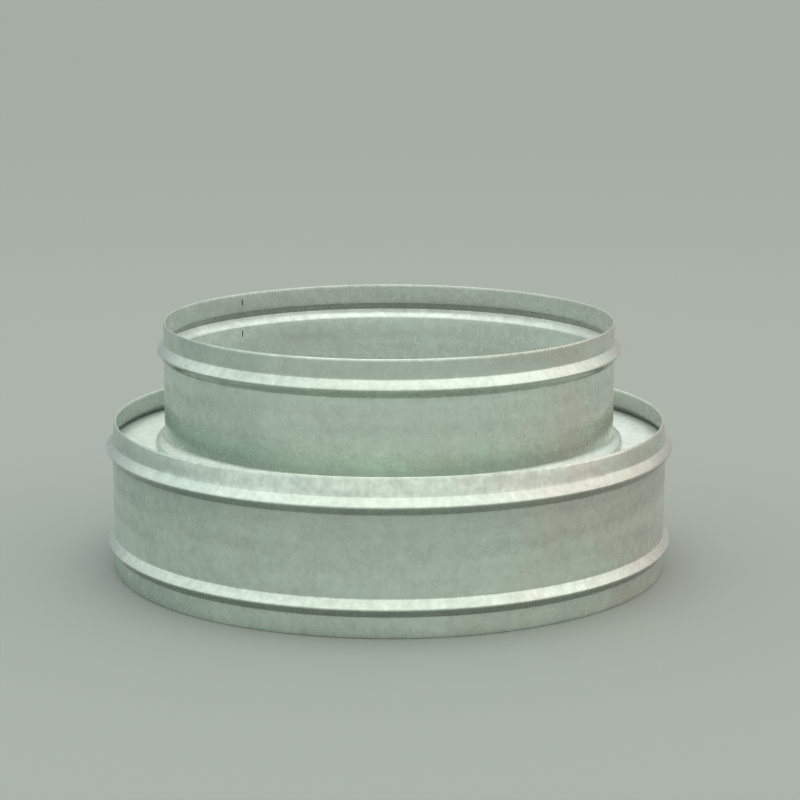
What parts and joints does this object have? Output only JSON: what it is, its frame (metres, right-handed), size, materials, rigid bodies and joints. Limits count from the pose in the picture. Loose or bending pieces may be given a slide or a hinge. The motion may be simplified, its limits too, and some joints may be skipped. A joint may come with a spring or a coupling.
{
  "type": "duct reducer",
  "caption": "Round sheet-metal duct reducer: a wide beaded collar joined to a narrower beaded collar by a flat ring plate, stepping an air duct down in diameter.",
  "frame": {"origin": "centre of the large collar's bottom edge, on the duct axis", "axes": "+Z along the duct axis, from the large end to the small end; +X and +Y are free, with the picture taken looking along +Y"},
  "size_m": [0.2546, 0.2546, 0.111],
  "materials": {
    "galvanised_sheet": "hot-dip galvanised, satin"
  },
  "bodies": {
    "root": {"large_collar": "galvanised_sheet", "reducing_plate": "galvanised_sheet", "small_collar": "galvanised_sheet"}
  },
  "joints": []
}
